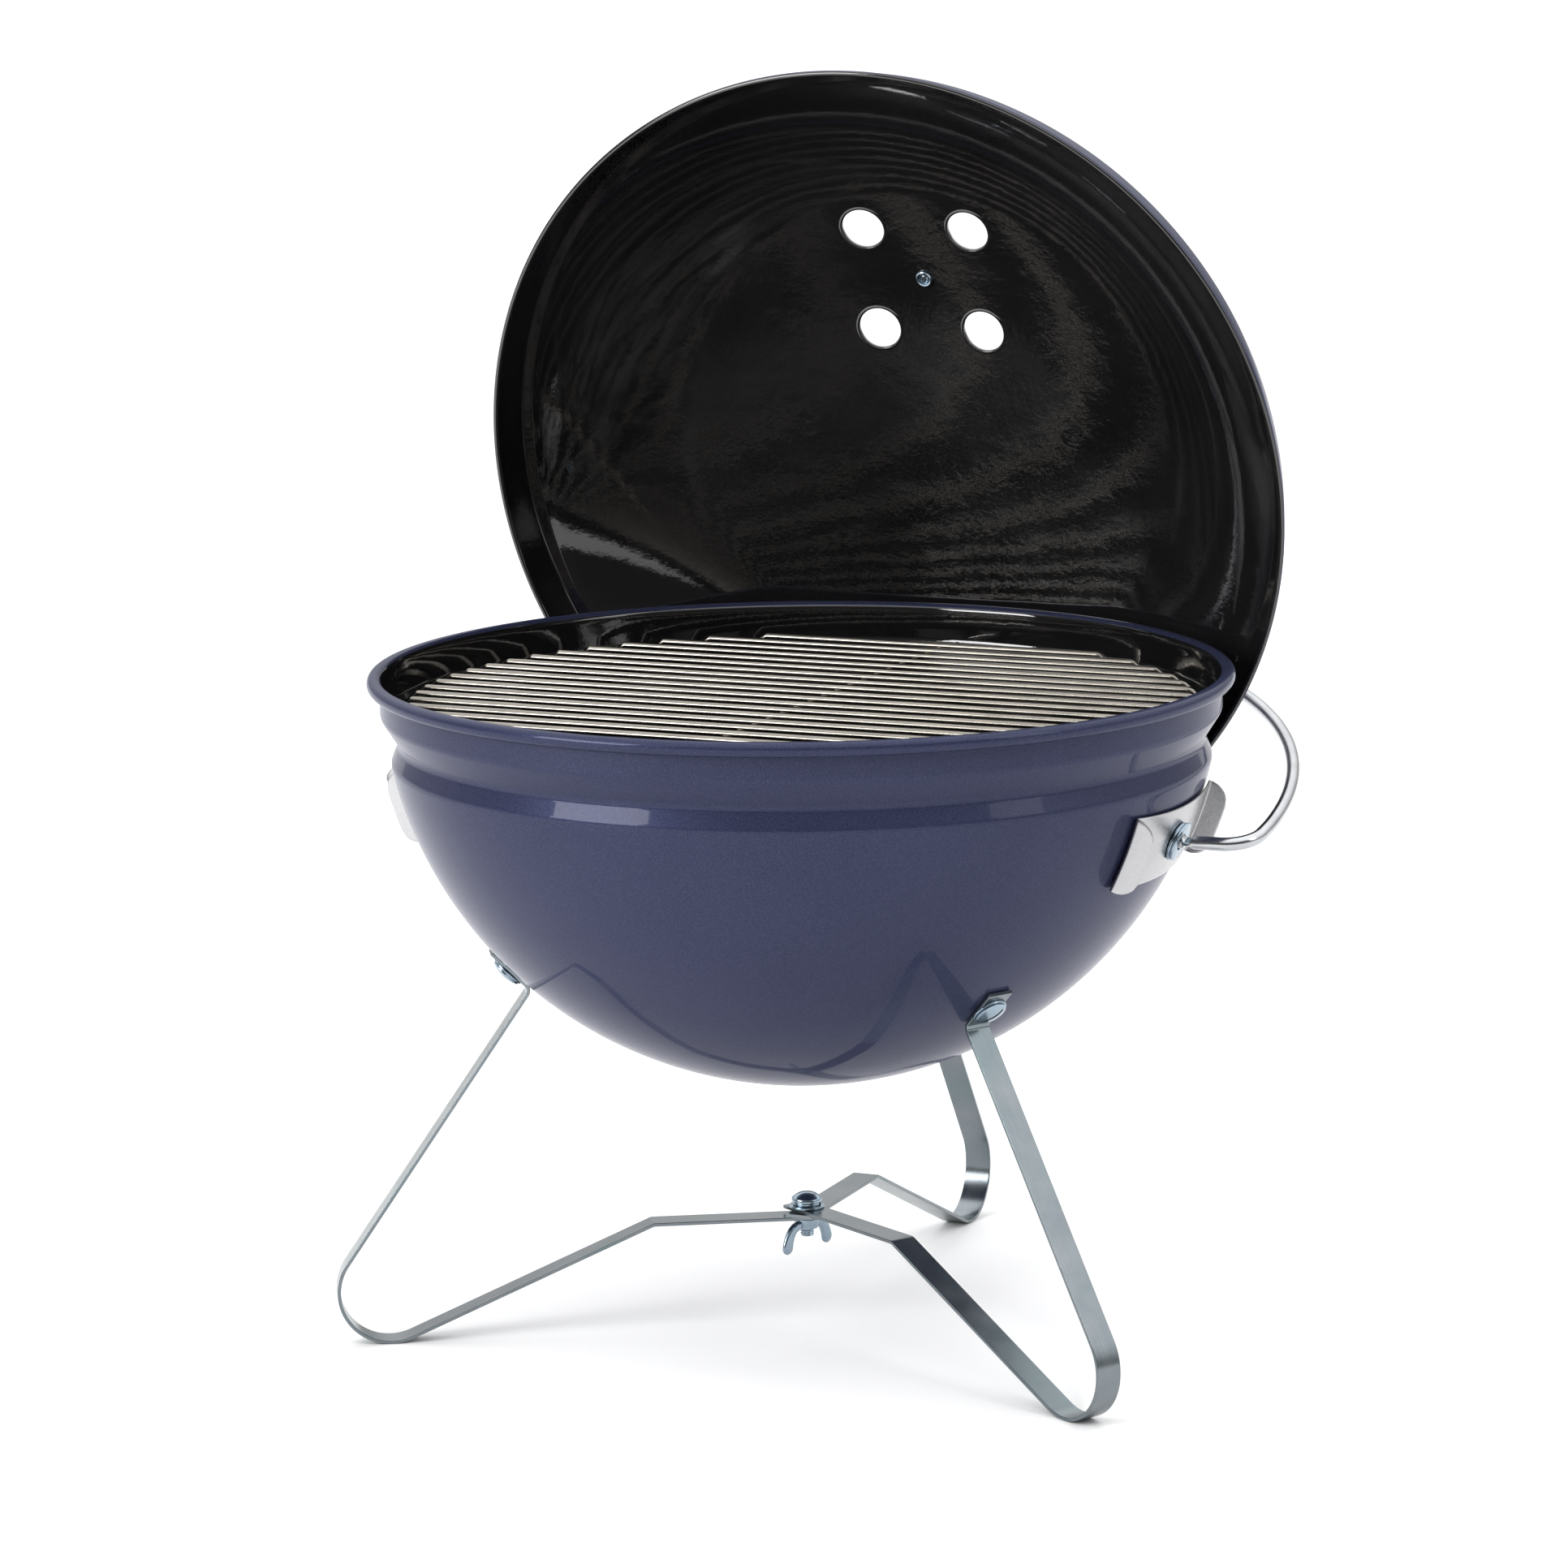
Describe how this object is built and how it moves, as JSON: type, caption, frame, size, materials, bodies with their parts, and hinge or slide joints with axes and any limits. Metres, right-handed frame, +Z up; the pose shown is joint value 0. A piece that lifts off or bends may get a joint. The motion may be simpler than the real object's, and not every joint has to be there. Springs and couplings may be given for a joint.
{
  "type": "portable tabletop grill",
  "caption": "Portable kettle grill: enamelled bowl on three bent strip legs, wire cooking grate, vented lid hung at the back inside a wire bail, pivoting side dampers.",
  "frame": {"origin": "on the ground, under the bowl's axis", "axes": "+Z up; +X to the right along the bail's pivot axis; -Y is the front, and the lid hangs at the back"},
  "size_m": [0.4094, 0.4214, 0.5358],
  "materials": {
    "blue_enamel": "glossy enamel",
    "zinc": "bright zinc plate",
    "aluminium": "brushed",
    "plated_wire": "bright plated wire",
    "black_nylon": "fine moulded grain"
  },
  "bodies": {
    "base": {"bowl": "blue_enamel", "leg_left": "zinc", "leg_right": "zinc", "leg_back": "zinc", "leg_screws": "zinc", "leg_washers": "zinc", "leg_nuts": "zinc", "centre_bolt": "zinc", "centre_lock_washer": "zinc", "centre_flat_washer": "zinc", "pivot_washers_left": "zinc", "pivot_washers_right": "zinc"},
    "wing_nut": {"wing_nut": "zinc"},
    "bail": {"bail": "zinc"},
    "left_damper": {"left_damper": "aluminium"},
    "right_damper": {"right_damper": "aluminium"},
    "cooking_grate": {"cooking_grate": "plated_wire"},
    "charcoal_grate": {"charcoal_grate": "zinc"},
    "lid": {"lid": "blue_enamel", "lid_damper_rivet": "zinc", "handle_bracket": "zinc", "heat_shield": "aluminium", "lid_handle": "black_nylon", "handle_screws": "zinc", "handle_lock_washers": "zinc"},
    "lid_damper": {"lid_damper": "aluminium"}
  },
  "joints": [
    {"name": "lid_lift", "type": "slide", "parent": "base", "child": "lid", "axis": [0, 0.4909, 0.8712], "range_m": [0, 0.33]},
    {"name": "lid_damper_turn", "type": "hinge", "parent": "lid", "child": "lid_damper", "pos_m": [-0.0054, 0.15804, 0.43845], "axis": [0, 0.9241, 0.3822], "range_deg": [0, 45]},
    {"name": "bail_swing", "type": "hinge", "parent": "base", "child": "bail", "pos_m": [0, 0, 0.224], "axis": [-1, 0, 0], "range_deg": [0, 48]},
    {"name": "left_damper_turn", "type": "hinge", "parent": "base", "child": "left_damper", "pos_m": [0, 0, 0.289], "axis": [-0.9324, 0, -0.3614], "range_deg": [-75, 75]},
    {"name": "right_damper_turn", "type": "hinge", "parent": "base", "child": "right_damper", "pos_m": [0, 0, 0.289], "axis": [0.9324, 0, -0.3614], "range_deg": [-75, 75]},
    {"name": "cooking_grate_lift", "type": "slide", "parent": "base", "child": "cooking_grate", "axis": [0, 0, 1], "range_m": [0, 0.1]},
    {"name": "charcoal_grate_lift", "type": "slide", "parent": "base", "child": "charcoal_grate", "axis": [0, 0, 1], "range_m": [0, 0.085]},
    {"name": "wing_nut_turn", "type": "hinge", "parent": "base", "child": "wing_nut", "pos_m": [0, 0, 0.0448], "axis": [0, 0, 1], "continuous": true}
  ]
}
